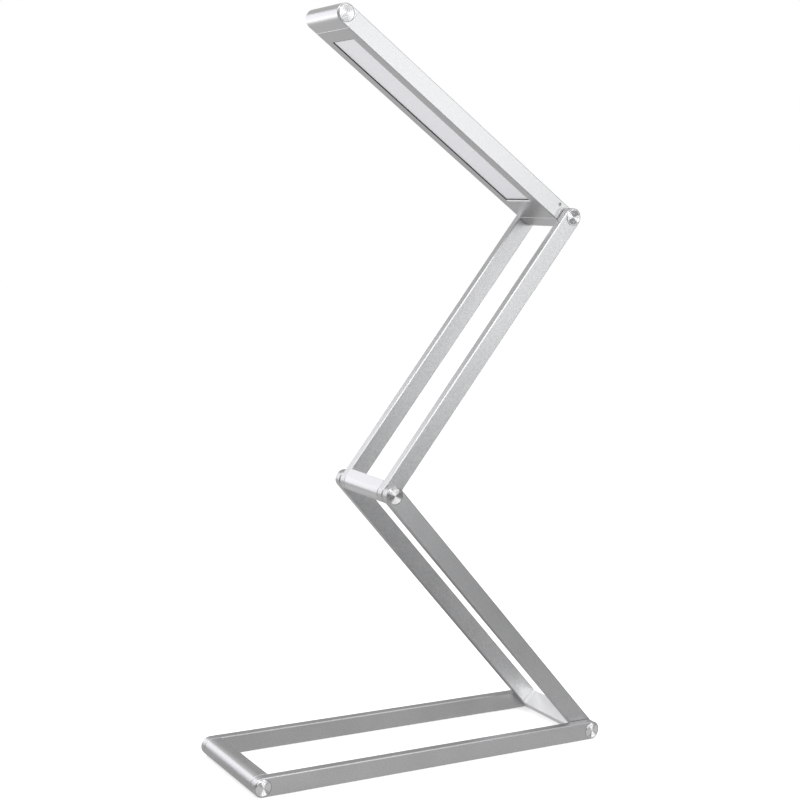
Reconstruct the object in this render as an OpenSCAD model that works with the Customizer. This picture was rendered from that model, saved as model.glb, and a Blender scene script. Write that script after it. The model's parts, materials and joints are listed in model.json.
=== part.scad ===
// Folding desk lamp: four flat metal frames that nest inside one another like a closed accordion.
// Units are millimetres and +Z is up. The origin is on the table at the middle of the base.
// The base lies along X. Its open end with the first hinge points to +X, the front side is -Y.
// From the base up, each frame is narrower than the one that carries it and swings inside it.

/* [Flat bars] */
// height of every bar, which is also the thickness of the folded lamp
bar_height = 12; // [9:0.5:16]
// thickness of a side rail
rail_thickness = 6; // [5:0.5:8]
// bevel along the long edges of the rails and of the head
edge_bevel = 0.5; // [0.2:0.1:1]
// bevel along the joints between cross bars, end blocks and their neighbours
seam_bevel = 0.15; // [0.1:0.05:0.5]
// free gap on each side between one frame and the next
frame_gap = 0.5; // [0.4:0.1:1]
// half of the width of the lamp head
head_half_width = 20.5; // [17:0.5:28]

/* [Frame lengths] */
// base, from the axis of its round nose to the first hinge
base_length = 244.9; // [200:0.1:300]
// lower arm, from hinge to hinge
lower_arm_length = 231.8; // [190:0.1:285]
// upper arm, from hinge to hinge
upper_arm_length = 217; // [175:0.5:270]
// lamp head, from its hinge to the axis of its round nose
head_length = 202; // [165:0.5:250]
// how far the cross bar of the base reaches past its axis
base_bar_reach = 5.4; // [4.4:0.1:7]
// how far the cross bar of the lower arm reaches past its axis
lower_bar_reach = 5; // [4.4:0.1:7]
// how far the cross bar of the upper arm reaches past its axis
upper_bar_reach = 6; // [4.4:0.1:8]
// radius of the rounded inner corners of the lower arm
corner_radius = 2.5; // [1:0.1:3]

/* [Standing pose] */
// slope of the lower arm above the table, in degrees
lower_arm_angle = 46.85; // [40:0.05:60]
// slope of the upper arm above the table, in degrees
upper_arm_angle = 53.44; // [40:0.05:56]
// slope of the lamp head above the table, in degrees
head_angle = 33.67; // [10:0.05:60]

/* [Round caps] */
// radius of the turned cap over each joint
cap_radius = 5.3; // [4:0.1:7]
// depth of the cap's edge below the face of the bar
cap_sink = 0.4; // [0.2:0.1:0.8]
// height of the cap above the face of the bar
cap_proud = 0.4; // [0.2:0.1:1]
// bevel around the cap
cap_bevel = 0.2; // [0.1:0.05:0.4]
// width of the flat rim of the cap
cap_rim = 0.5; // [0.2:0.1:1]
// depth of the shallow cone turned into the cap
cap_dish = 0.25; // [0.1:0.05:0.4]
// free ring around the cap in its recess
cap_ring_gap = 0.12; // [0.05:0.01:0.3]
// length of the ring that holds the cap in the screw pocket
cap_stem_length = 0.8; // [0.4:0.1:1]
// wall of that ring
cap_stem_wall = 0.7; // [0.4:0.1:1]
// free fit of that ring in the screw pocket
cap_stem_clearance = 0.03; // [0.01:0.01:0.1]

/* [Hinge and corner screws] */
// radius of the pocket for the screw head
pocket_radius = 3.6; // [3:0.1:4.2]
// depth of the pocket from the outer face of the rail
pocket_depth = 3.4; // [3:0.1:4]
// radius of the screw head
screw_head_radius = 3.3; // [2.6:0.1:3.9]
// height of the screw head
screw_head_height = 1.8; // [1.4:0.1:2.2]
// radius of the smooth shoulder that the hinge turns on
shoulder_radius = 2; // [1.8:0.1:2.4]
// radial running clearance between shoulder and rail
shoulder_clearance = 0.05; // [0.02:0.01:0.09]
// radius of the threaded shank
thread_radius = 1.6; // [1.2:0.1:1.7]
// radial clearance of the shank in its hole
thread_clearance = 0.02; // [0.01:0.01:0.05]
// depth of the shank in a cross bar
thread_depth = 6; // [4:0.5:10]
// radius across the corners of the key socket in the screw head
key_radius = 1.5; // [1:0.1:2]
// depth of the key socket
key_depth = 1; // [0.6:0.1:1.2]
// outer radius of the friction washer between two frames
washer_radius = 4.8; // [4:0.1:5.2]
// thickness of the friction washer
washer_thickness = 0.38; // [0.3:0.01:0.45]
// radial clearance of the washer around the shoulder
washer_clearance = 0.08; // [0.05:0.01:0.1]

/* [Corner dowels] */
// radius of the dowel that stops a cross bar from turning
dowel_radius = 0.75; // [0.5:0.05:0.8]
// distance from the corner axis to the dowel
dowel_offset = 3; // [2.9:0.05:3.4]
// depth of the dowel in the rail
dowel_rail_depth = 1.8; // [1:0.1:2.2]
// depth of the dowel in the cross bar
dowel_bar_depth = 4; // [2:0.5:8]
// radial clearance of the dowel
dowel_clearance = 0.01; // [0.01:0.01:0.03]

/* [Foot pads] */
// length of a foot pad
pad_length = 18; // [10:1:30]
// width of a foot pad
pad_width = 3.6; // [2.5:0.1:4]
// full thickness of a foot pad
pad_thickness = 1.2; // [0.8:0.1:1.6]
// how far a foot pad stands out below the base
pad_proud = 0.4; // [0.3:0.1:0.6]
// free fit of a pad in its pocket
pad_clearance = 0.05; // [0.02:0.01:0.1]
// distance from the end axes of the base to the middle of a pad
pad_inset = 20; // [16:1:40]

/* [Head housing] */
// wall of the head along its sides and its back
head_wall = 1.5; // [1:0.1:2.5]
// wall of the head on the lit side
light_wall = 1.2; // [1:0.1:1.6]
// joint between hinge block and housing, from the head's hinge
hinge_block_reach = 7.4; // [6.5:0.1:8.4]
// joint between nose block and housing, from the nose axis
nose_block_reach = 6; // [5.8:0.1:7]
// depth of the plug of an end block in the housing
plug_depth = 4; // [3:0.5:8]
// half width of the plug of the hinge block
hinge_plug_half_width = 14; // [8:0.5:15]
// half width of the plug of the nose block
nose_plug_half_width = 17; // [8:0.5:18]
// free fit of a plug in the housing
plug_clearance = 0.05; // [0.02:0.01:0.1]
// start of the light window, from the head's hinge
window_start = 26.9; // [25:0.1:40]
// strip of the lit side between the light window and the nose block
window_nose_margin = 9; // [7:0.1:30]
// half width of the light window
window_half_width = 13.2; // [8:0.1:15]
// length of the slope at the hinge end of the window
window_slope = 1.6; // [0.8:0.1:2.5]

/* [Light unit] */
// depth of the diffuser's face below the lit side
diffuser_recess = 0.7; // [0.4:0.1:1]
// gap between diffuser and window edge
diffuser_gap = 0.3; // [0.1:0.05:0.5]
// width of the diffuser's flange behind the window
diffuser_flange = 1.5; // [1:0.1:2.5]
// thickness of the diffuser's flange
diffuser_thickness = 1.2; // [0.8:0.1:2]
// wall of the white tray that holds the light unit
tray_wall = 0.7; // [0.5:0.1:1]
// inner depth of the tray
tray_depth = 4.5; // [3:0.1:5]
// thickness of the light board
light_board_thickness = 1; // [0.8:0.1:1.2]
// free gap around the boards
board_gap = 0.4; // [0.2:0.1:1]
// length of one light chip
light_chip_length = 3.5; // [2:0.1:5]
// width of one light chip
light_chip_width = 2.8; // [1.5:0.1:4]
// height of one light chip
light_chip_height = 0.7; // [0.4:0.1:1]
// number of light chips in one row
light_chip_count = 14; // [6:1:18]
// distance from the middle line to each row of light chips
light_row_offset = 6; // [4:0.5:9]

/* [Battery and electronics] */
// start of the battery, from the head's hinge
battery_start = 34; // [30:1:50]
// length of the battery
battery_length = 110; // [60:1:140]
// width of the battery
battery_width = 34; // [20:1:36]
// thickness of the battery
battery_thickness = 2.5; // [2:0.1:2.8]
// free gap around flat inner pieces
stack_gap = 0.1; // [0.05:0.05:0.2]
// start of the control board, from the head's hinge
board_start = 12; // [11.6:0.1:13]
// end of the control board, from the head's hinge
board_end = 23.6; // [22.5:0.1:23.7]
// half width of the control board
board_half_width = 18.4; // [15:0.1:18.8]
// thickness of the control board
board_thickness = 0.8; // [0.6:0.1:1.2]
// start of the board's tongue below the charging light
tongue_start = 8.4; // [8:0.1:10]
// width of that tongue
tongue_width = 3.6; // [2:0.1:4]
// side of the charge control chip
control_chip_size = 5; // [3:0.5:6]
// height of the charge control chip
control_chip_height = 0.9; // [0.6:0.1:1.2]
// side of the coil on the board
coil_size = 4; // [3:0.5:5]
// height of the coil
coil_height = 2.2; // [1:0.1:3]
// length of the battery plug on the board
plug_block_length = 4; // [3:0.5:5]
// width of the battery plug on the board
plug_block_width = 6; // [4:0.5:8]
// height of the battery plug on the board
plug_block_height = 2.4; // [1.5:0.1:2.8]
// radius of a battery lead
lead_radius = 0.4; // [0.3:0.05:0.6]
// height of the leads above the board
lead_rise = 1.7; // [1.6:0.05:1.9]
// distance between the two battery leads
lead_spacing = 3; // [2:0.1:4]

/* [Charging socket and controls] */
// middle of the charging socket, from the head's hinge
socket_position = 18; // [17:0.1:18.5]
// outer width of the socket
socket_width = 8.9; // [7:0.1:9.4]
// outer height of the socket
socket_height = 3.2; // [2.5:0.1:3.3]
// depth of the socket
socket_depth = 7.3; // [5:0.1:8]
// sheet thickness of the socket
socket_wall = 0.3; // [0.2:0.05:0.4]
// height of the tongue in the socket
socket_tongue_height = 0.7; // [0.5:0.1:0.9]
// width of the tongue in the socket
socket_tongue_width = 6.6; // [4:0.1:7]
// depth of the open mouth of the socket
socket_mouth_depth = 6; // [4:0.1:6.5]
// distance of the tongue's tip from the mouth
socket_tongue_inset = 0.8; // [0.4:0.1:1.5]
// distance of the socket's mouth below the outside of the head
socket_inset = 0.3; // [0.1:0.05:0.6]
// free gap around the socket in the wall
socket_gap = 0.15; // [0.1:0.05:0.3]
// position of the charging light, from the head's hinge
status_position = 10; // [9.9:0.05:10.3]
// height of the charging light above the middle of the head
status_height = 3.2; // [2.6:0.1:3.2]
// radius of the charging light
status_radius = 1.1; // [0.8:0.05:1.2]
// free fit of the charging light in its hole
status_clearance = 0.05; // [0.02:0.01:0.1]
// depth of the charging light below the outside of the head
status_inset = 0.5; // [0.2:0.1:1]
// length of the light guide
status_length = 4.6; // [3:0.1:5]
// side of the small lamp under the light guide
status_chip_size = 1.6; // [1:0.1:2]
// height of that small lamp
status_chip_height = 0.7; // [0.4:0.1:0.9]
// middle of the touch key, from the head's hinge
key_pad_position = 24; // [22:0.5:26]
// radius of the touch key
key_pad_radius = 6; // [4:0.5:8]
// depth of the touch key's recess in the back of the head
key_pad_depth = 0.8; // [0.5:0.1:1]
// height of the touch key above the back of the head
key_pad_proud = 0.15; // [0.05:0.05:0.3]
// free ring around the touch key
key_pad_gap = 0.1; // [0.05:0.01:0.2]

/* [Hidden] */
$fn = 64;
overrun = 1;
half_height = bar_height / 2;
base_half_width = head_half_width + 3 * (frame_gap + rail_thickness);
lower_half_width = head_half_width + 2 * (frame_gap + rail_thickness);
upper_half_width = head_half_width + frame_gap + rail_thickness;
hinge_height = half_height + pad_proud;
hinge_x = base_length / 2;
elbow_x = hinge_x - lower_arm_length * cos(lower_arm_angle);
elbow_z = hinge_height + lower_arm_length * sin(lower_arm_angle);
head_hinge_x = elbow_x + upper_arm_length * cos(upper_arm_angle);
head_hinge_z = elbow_z + upper_arm_length * sin(upper_arm_angle);
housing_end = head_length - nose_block_reach;
window_end = housing_end - window_nose_margin;
inner_half_width = head_half_width - head_wall;
back_inside = head_wall - half_height;
light_inside = half_height - light_wall;
flange_start = window_start - window_slope - diffuser_flange;
flange_end = window_end + diffuser_flange;
flange_half_width = window_half_width + diffuser_flange;
tray_floor = light_inside - diffuser_thickness - tray_depth;
board_middle = (board_start + board_end) / 2;
board_back = tray_floor + board_thickness + stack_gap;
shank_length = rail_thickness + thread_depth;

// Places of the four moving frames. Inside each, +X runs from its own hinge along the frame.
module in_base()
    translate([-base_length / 2, 0, hinge_height])
        children();

module in_lower_arm()
    translate([hinge_x, 0, hinge_height])
        rotate([0, lower_arm_angle - 180, 0])
            children();

module in_upper_arm()
    translate([elbow_x, 0, elbow_z])
        rotate([0, -upper_arm_angle, 0])
            children();

module in_head()
    translate([head_hinge_x, 0, head_hinge_z])
        rotate([0, head_angle - 180, 0])
            children();

// The same piece at the front and, mirrored, at the back.
module both_sides() {
    children();
    mirror([0, 1, 0])
        children();
}

// A drill that enters the front face at y and goes towards the middle.
module drill(x, y, z, radius, depth)
    translate([x, y - overrun, z])
        rotate([-90, 0, 0])
            cylinder(h = depth + overrun, r = radius);

// A flat turned piece whose profile's height points out of the front face at y.
module turned(x, y, profile)
    translate([x, y, 0])
        rotate([90, 0, 0])
            rotate_extrude()
                polygon(profile);

// Round end of a bar: a short cylinder across the bar with bevelled rims.
module round_end(x, width, bevel)
    turned(x, 0, [
        [0, -width / 2],
        [half_height - bevel, -width / 2],
        [half_height, bevel - width / 2],
        [half_height, width / 2 - bevel],
        [half_height - bevel, width / 2],
        [0, width / 2]
    ]);

// Half-round nose of a cross bar or end block, on the side away from the frame.
module half_round(width, bevel)
    difference() {
        round_end(0, width, bevel);
        block([0, -width, -bar_height], [bar_height, width, bar_height]);
    }

// Straight stretch of a bar with four bevelled long edges.
module straight_bar(start, end, width, bevel)
    translate([start, 0, 0])
        rotate([90, 0, 90])
            linear_extrude(end - start)
                polygon([
                    [bevel - width / 2, -half_height],
                    [width / 2 - bevel, -half_height],
                    [width / 2, bevel - half_height],
                    [width / 2, half_height - bevel],
                    [width / 2 - bevel, half_height],
                    [bevel - width / 2, half_height],
                    [-width / 2, half_height - bevel],
                    [-width / 2, bevel - half_height]
                ]);

// Front rail of a frame. Its closed corner is at x = 0 and its hinge at x = run.
module front_rail(run, half_width, capped) {
    outer_face = -half_width;
    inner_face = rail_thickness - half_width;
    difference() {
        translate([0, rail_thickness / 2 - half_width, 0])
            union() {
                round_end(0, rail_thickness, edge_bevel);
                straight_bar(0, run, rail_thickness, edge_bevel);
                round_end(run, rail_thickness, edge_bevel);
            }
        socket(run, outer_face, shoulder_radius + shoulder_clearance);
        if (capped)
            socket(0, outer_face, thread_radius + thread_clearance);
        else
            drill(0, outer_face, 0, thread_radius + thread_clearance, rail_thickness + overrun);
        translate([dowel_offset, inner_face - dowel_rail_depth, 0])
            rotate([-90, 0, 0])
                cylinder(h = dowel_rail_depth + overrun, r = dowel_radius + dowel_clearance);
    }
}

// Recess for the cap, pocket for the screw head and bore, from the outer face inwards.
module socket(x, outer_face, bore_radius) {
    drill(x, outer_face, 0, cap_radius + cap_ring_gap, cap_sink);
    drill(x, outer_face, 0, pocket_radius, pocket_depth);
    drill(x, outer_face, 0, bore_radius, rail_thickness + overrun);
}

// Cross bar that closes a frame: a half-round nose and a short flat stretch behind it.
module cross_bar(reach, half_width) {
    width = 2 * (half_width - rail_thickness);
    difference() {
        union() {
            half_round(width, seam_bevel);
            straight_bar(0, reach, width, seam_bevel);
        }
        both_sides() {
            drill(0, -width / 2, 0, thread_radius + thread_clearance, thread_depth);
            drill(dowel_offset, -width / 2, 0, dowel_radius + dowel_clearance, dowel_bar_depth);
        }
        broken_edge(reach, width);
        mirror([0, 0, 1])
            broken_edge(reach, width);
    }
}

// Bevel to cut along an inner edge of a cross bar.
module broken_edge(reach, width)
    translate([0, width / 2 + overrun, 0])
        rotate([90, 0, 0])
            linear_extrude(width + 2 * overrun)
                polygon([
                    [reach - seam_bevel, half_height],
                    [reach, half_height - seam_bevel],
                    [reach + overrun, half_height + overrun]
                ]);

// Rounded inner corners between a cross bar and its rails.
module inner_corners(reach, half_width) {
    side = half_width - rail_thickness;
    both_sides()
        translate([0, 0, seam_bevel - half_height])
            linear_extrude(bar_height - 2 * seam_bevel)
                difference() {
                    translate([reach - seam_bevel, -side])
                        square([corner_radius + seam_bevel, corner_radius]);
                    translate([reach + corner_radius, corner_radius - side])
                        circle(r = corner_radius);
                }
}

// Two dowels between a cross bar and its rails.
module dowels(half_width)
    both_sides()
        translate([dowel_offset, rail_thickness - half_width - dowel_rail_depth, 0])
            rotate([-90, 0, 0])
                cylinder(h = dowel_rail_depth + dowel_bar_depth, r = dowel_radius);

// Turned cap with a shallow cone in its face and a ring that holds it in the screw pocket.
module caps(x, half_width)
    both_sides()
        turned(x, -half_width, [
            [0, -cap_sink],
            [pocket_radius - cap_stem_clearance - cap_stem_wall, -cap_sink],
            [pocket_radius - cap_stem_clearance - cap_stem_wall, -cap_sink - cap_stem_length],
            [pocket_radius - cap_stem_clearance, -cap_sink - cap_stem_length],
            [pocket_radius - cap_stem_clearance, -cap_sink],
            [cap_radius, -cap_sink],
            [cap_radius, cap_proud - cap_bevel],
            [cap_radius - cap_bevel, cap_proud],
            [cap_radius - cap_rim, cap_proud],
            [0, cap_proud - cap_dish]
        ]);

// Turned cap with its own threaded stud, screwed into the solid nose of the head.
module stud_caps(x, half_width)
    both_sides()
        turned(x, -half_width, [
            [0, -cap_sink - thread_depth],
            [thread_radius, -cap_sink - thread_depth],
            [thread_radius, -cap_sink],
            [cap_radius, -cap_sink],
            [cap_radius, cap_proud - cap_bevel],
            [cap_radius - cap_bevel, cap_proud],
            [cap_radius - cap_rim, cap_proud],
            [0, cap_proud - cap_dish]
        ]);

// Hinge screw: head in the carrying rail, smooth shoulder through it, shank in the next frame.
module hinge_screws(half_width)
    both_sides()
        difference() {
            turned(0, -half_width, [
                [0, -rail_thickness - frame_gap - shank_length],
                [thread_radius, -rail_thickness - frame_gap - shank_length],
                [thread_radius, -rail_thickness - frame_gap],
                [shoulder_radius, -rail_thickness - frame_gap],
                [shoulder_radius, -pocket_depth],
                [screw_head_radius, -pocket_depth],
                [screw_head_radius, screw_head_height - pocket_depth],
                [0, screw_head_height - pocket_depth]
            ]);
            key_socket(half_width);
        }

// Corner screw: head in the rail, shank straight into the cross bar.
module corner_screws(half_width)
    both_sides()
        difference() {
            turned(0, -half_width, [
                [0, -shank_length],
                [thread_radius, -shank_length],
                [thread_radius, -pocket_depth],
                [screw_head_radius, -pocket_depth],
                [screw_head_radius, screw_head_height - pocket_depth],
                [0, screw_head_height - pocket_depth]
            ]);
            key_socket(half_width);
        }

// Six-sided socket in the head of a screw.
module key_socket(half_width)
    translate([0, pocket_depth - screw_head_height - half_width - overrun, 0])
        rotate([-90, 0, 0])
            cylinder(h = key_depth + overrun, r = key_radius, $fn = 6);

// Flat friction washers on the inner faces of the carrying rails.
module washers(x, half_width)
    both_sides()
        difference() {
            drill(x, rail_thickness - half_width + overrun, 0, washer_radius, washer_thickness - overrun);
            drill(x, rail_thickness - half_width, 0, shoulder_radius + washer_clearance, rail_thickness);
        }

// Long strip with round ends that lies along X.
module strip(length, width, height)
    linear_extrude(height)
        union() {
            square([length - width, width], center = true);
            translate([(length - width) / 2, 0])
                circle(d = width);
            translate([(width - length) / 2, 0])
                circle(d = width);
        }

module front_pad_places()
    for (x = [pad_inset, base_length - pad_inset])
        translate([x, rail_thickness / 2 - base_half_width, -half_height - pad_proud])
            children();

// Plain box given by its limits, for the flat inner pieces.
module block(low, high)
    translate(low)
        cube(high - low);

// Base.
module base_front_rail()
    color([0.66, 0.67, 0.68])
        in_base()
            difference() {
                front_rail(base_length, base_half_width, true);
                front_pad_places()
                    strip(pad_length + 2 * pad_clearance, pad_width + 2 * pad_clearance, pad_thickness);
            }

module base_back_rail()
    mirror([0, 1, 0])
        base_front_rail();

module base_cross_bar()
    color([0.7, 0.7, 0.72])
        in_base()
            cross_bar(base_bar_reach, base_half_width);

module base_corner_caps()
    color([0.82, 0.83, 0.84])
        in_base()
            caps(0, base_half_width);

module base_corner_screws()
    color([0.5, 0.5, 0.52])
        in_base()
            corner_screws(base_half_width);

module base_dowels()
    color([0.6, 0.6, 0.62])
        in_base()
            dowels(base_half_width);

module base_foot_pads()
    color([0.12, 0.12, 0.12])
        in_base()
            both_sides()
                front_pad_places()
                    strip(pad_length, pad_width, pad_thickness);

module base_hinge_caps()
    color([0.82, 0.83, 0.84])
        in_base()
            caps(base_length, base_half_width);

module base_hinge_washers()
    color([0.3, 0.3, 0.3])
        in_base()
            washers(base_length, base_half_width);

// Lower arm.
module lower_arm_front_rail()
    color([0.64, 0.65, 0.66])
        in_lower_arm()
            front_rail(lower_arm_length, lower_half_width, false);

module lower_arm_back_rail()
    mirror([0, 1, 0])
        lower_arm_front_rail();

module lower_arm_cross_bar()
    color([0.7, 0.7, 0.72])
        in_lower_arm()
            union() {
                cross_bar(lower_bar_reach, lower_half_width);
                inner_corners(lower_bar_reach, lower_half_width);
            }

module lower_arm_dowels()
    color([0.6, 0.6, 0.62])
        in_lower_arm()
            dowels(lower_half_width);

module base_hinge_screws()
    color([0.5, 0.5, 0.52])
        in_lower_arm()
            hinge_screws(base_half_width);

module elbow_caps()
    color([0.82, 0.83, 0.84])
        in_lower_arm()
            caps(lower_arm_length, lower_half_width);

module elbow_washers()
    color([0.3, 0.3, 0.3])
        in_lower_arm()
            washers(lower_arm_length, lower_half_width);

// Upper arm.
module upper_arm_front_rail()
    color([0.72, 0.73, 0.74])
        in_upper_arm()
            front_rail(upper_arm_length, upper_half_width, false);

module upper_arm_back_rail()
    mirror([0, 1, 0])
        upper_arm_front_rail();

module upper_arm_cross_bar()
    color([0.85, 0.84, 0.86])
        in_upper_arm()
            cross_bar(upper_bar_reach, upper_half_width);

module upper_arm_dowels()
    color([0.6, 0.6, 0.62])
        in_upper_arm()
            dowels(upper_half_width);

module elbow_screws()
    color([0.5, 0.5, 0.52])
        in_upper_arm()
            hinge_screws(lower_half_width);

module head_hinge_caps()
    color([0.82, 0.83, 0.84])
        in_upper_arm()
            caps(upper_arm_length, upper_half_width);

module head_hinge_washers()
    color([0.3, 0.3, 0.3])
        in_upper_arm()
            washers(upper_arm_length, upper_half_width);

// Lamp head. Inside it, +Z points out of the lit side.
module head_hinge_screws()
    color([0.5, 0.5, 0.52])
        in_head()
            hinge_screws(upper_half_width);

// Housing: a flat rectangular tube with the light window cut into its lit side.
module head_housing()
    color([0.78, 0.79, 0.8])
        in_head()
            difference() {
                straight_bar(hinge_block_reach, housing_end, 2 * head_half_width, edge_bevel);
                block(
                    [hinge_block_reach - overrun, -inner_half_width, back_inside],
                    [housing_end + overrun, inner_half_width, light_inside]
                );
                light_window();
                seam_cut(hinge_block_reach);
                seam_cut(housing_end);
                socket_opening();
                drill(
                    status_position, -head_half_width, -status_height,
                    status_radius + status_clearance, head_wall + overrun
                );
                translate([key_pad_position, 0, -half_height - overrun])
                    cylinder(h = key_pad_depth + overrun, r = key_pad_radius + key_pad_gap);
            }

// Window through the wall, with a slope at its hinge end.
module light_window()
    translate([0, window_half_width, 0])
        rotate([90, 0, 0])
            linear_extrude(2 * window_half_width)
                polygon([
                    [window_start, light_inside - overrun],
                    [window_start, light_inside],
                    [window_start - window_slope, half_height],
                    [window_start - window_slope, half_height + overrun],
                    [window_end, half_height + overrun],
                    [window_end, light_inside - overrun]
                ]);

// Slot with round ends in the back side wall for the charging socket.
module socket_opening()
    translate([socket_position, inner_half_width - overrun, socket_middle()])
        rotate([-90, 0, 0])
            strip(socket_width + 2 * socket_gap, socket_height + 2 * socket_gap, head_wall + 2 * overrun);

function socket_middle() = board_back - board_thickness - socket_height / 2;

module head_hinge_block()
    color([0.7, 0.7, 0.72])
        in_head()
            difference() {
                union() {
                    half_round(2 * head_half_width, edge_bevel);
                    straight_bar(0, hinge_block_reach, 2 * head_half_width, edge_bevel);
                    end_plug(hinge_block_reach, hinge_plug_half_width);
                }
                both_sides()
                    drill(0, -head_half_width, 0, thread_radius + thread_clearance, shank_length);
                seam_cut(hinge_block_reach);
            }

module head_nose_block()
    color([0.85, 0.84, 0.86])
        in_head()
            translate([head_length, 0, 0])
                mirror([1, 0, 0])
                    difference() {
                        union() {
                            half_round(2 * head_half_width, edge_bevel);
                            straight_bar(0, nose_block_reach, 2 * head_half_width, edge_bevel);
                            end_plug(nose_block_reach, nose_plug_half_width);
                        }
                        both_sides() {
                            drill(0, -head_half_width, 0, cap_radius + cap_ring_gap, cap_sink);
                            drill(
                                0, -head_half_width, 0,
                                thread_radius + thread_clearance, cap_sink + thread_depth
                            );
                        }
                        seam_cut(nose_block_reach);
                    }

// Fine V groove around the head at a joint, half of it on each piece.
module seam_cut(x)
    for (side = [-1, 1]) {
        translate([x, head_half_width + overrun, side * half_height])
            rotate([90, 0, 0])
                linear_extrude(2 * (head_half_width + overrun))
                    circle(r = seam_bevel, $fn = 4);
        translate([x, side * head_half_width, -half_height - overrun])
            linear_extrude(bar_height + 2 * overrun)
                circle(r = seam_bevel, $fn = 4);
    }

// Plug that holds an end block in the housing.
module end_plug(start, plug_half_width)
    block(
        [start - overrun, -plug_half_width, back_inside + plug_clearance],
        [start + plug_depth, plug_half_width, light_inside - plug_clearance]
    );

module head_nose_caps()
    color([0.9, 0.9, 0.91])
        in_head()
            stud_caps(head_length, head_half_width);

// Milky diffuser: a raised face in the window and a flange behind it.
module light_diffuser()
    color([0.86, 0.86, 0.88])
        in_head()
            union() {
                block(
                    [window_start + diffuser_gap, diffuser_gap - window_half_width,
                        light_inside - diffuser_thickness],
                    [window_end - diffuser_gap, window_half_width - diffuser_gap,
                        half_height - diffuser_recess]
                );
                block(
                    [flange_start, -flange_half_width, light_inside - diffuser_thickness],
                    [flange_end, flange_half_width, light_inside]
                );
            }

// White tray behind the diffuser.
module light_tray()
    color([0.93, 0.93, 0.93])
        in_head()
            difference() {
                block(
                    [flange_start, -flange_half_width, tray_floor],
                    [flange_end, flange_half_width, light_inside - diffuser_thickness]
                );
                block(
                    [flange_start + tray_wall, tray_wall - flange_half_width, tray_floor + tray_wall],
                    [flange_end - tray_wall, flange_half_width - tray_wall, light_inside]
                );
            }

module light_board()
    color([0.9, 0.9, 0.88])
        in_head()
            block(
                [flange_start + tray_wall + board_gap, board_gap + tray_wall - flange_half_width,
                    tray_floor + tray_wall],
                [flange_end - tray_wall - board_gap, flange_half_width - tray_wall - board_gap,
                    tray_floor + tray_wall + light_board_thickness]
            );

module light_chips() {
    pitch = (window_end - window_start) / light_chip_count;
    color([0.95, 0.85, 0.45])
        in_head()
            for (i = [0 : light_chip_count - 1])
                for (side = [-1, 1])
                    translate([
                        window_start + pitch * (i + 0.5) - light_chip_length / 2,
                        side * light_row_offset - light_chip_width / 2,
                        tray_floor + tray_wall + light_board_thickness
                    ])
                        cube([light_chip_length, light_chip_width, light_chip_height]);
}

// Flat cell between the tray and the back of the housing.
module battery_cell()
    color([0.7, 0.72, 0.75])
        in_head()
            block(
                [battery_start, -battery_width / 2, tray_floor - stack_gap - battery_thickness],
                [battery_start + battery_length, battery_width / 2, tray_floor - stack_gap]
            );

module battery_leads()
    color([0.7, 0.1, 0.1])
        in_head()
            for (side = [-1, 1])
                translate([board_end, side * lead_spacing / 2, board_back - board_thickness - lead_rise])
                    rotate([0, 90, 0])
                        cylinder(h = battery_start - board_end, r = lead_radius);

// Control board in the hinge end of the housing, with a tongue under the charging light.
module control_board()
    color([0.1, 0.35, 0.2])
        in_head()
            union() {
                block(
                    [board_start, -board_half_width, board_back - board_thickness],
                    [board_end, board_half_width, board_back]
                );
                block(
                    [tongue_start, -board_half_width, board_back - board_thickness],
                    [board_middle, tongue_width - board_half_width, board_back]
                );
            }

module control_parts() {
    control_chip_y = -plug_block_width / 2 - control_chip_size;
    coil_y = control_chip_y - control_chip_size - coil_size / 2;
    color([0.15, 0.15, 0.16])
        in_head()
            union() {
                part_on_board(board_middle, control_chip_y, control_chip_size, control_chip_height);
                part_on_board(board_middle, coil_y, coil_size, coil_height);
                block(
                    [board_end - plug_block_length, -plug_block_width / 2,
                        board_back - board_thickness - plug_block_height],
                    [board_end, plug_block_width / 2, board_back - board_thickness]
                );
                part_on_board(
                    status_position, status_inset + status_length - head_half_width,
                    status_chip_size, status_chip_height
                );
            }
}

// Square part on the back of the control board.
module part_on_board(x, y, size, height)
    translate([x - size / 2, y - size / 2, board_back - board_thickness - height])
        cube([size, size, height]);

// Charging socket in the back side wall, with a tongue in its open mouth.
module charging_socket()
    color([0.75, 0.76, 0.78])
        in_head()
            translate([socket_position, head_half_width - socket_inset, socket_middle()])
                rotate([90, 0, 0])
                    difference() {
                        strip(socket_width, socket_height, socket_depth);
                        difference() {
                            translate([0, 0, -overrun])
                                strip(
                                    socket_width - 2 * socket_wall, socket_height - 2 * socket_wall,
                                    socket_mouth_depth + overrun
                                );
                            translate([-socket_tongue_width / 2, -socket_tongue_height / 2, socket_tongue_inset])
                                cube([socket_tongue_width, socket_tongue_height, socket_mouth_depth]);
                        }
                    }

module charging_light()
    color([0.8, 0.85, 0.9, 0.6])
        in_head()
            translate([status_position, status_inset - head_half_width, -status_height])
                rotate([-90, 0, 0])
                    cylinder(h = status_length, r = status_radius);

// Flat round touch key in the back of the head.
module touch_key()
    color([0.6, 0.61, 0.62])
        in_head()
            translate([key_pad_position, 0, -half_height - key_pad_proud])
                cylinder(h = key_pad_depth + key_pad_proud, r = key_pad_radius);

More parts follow.
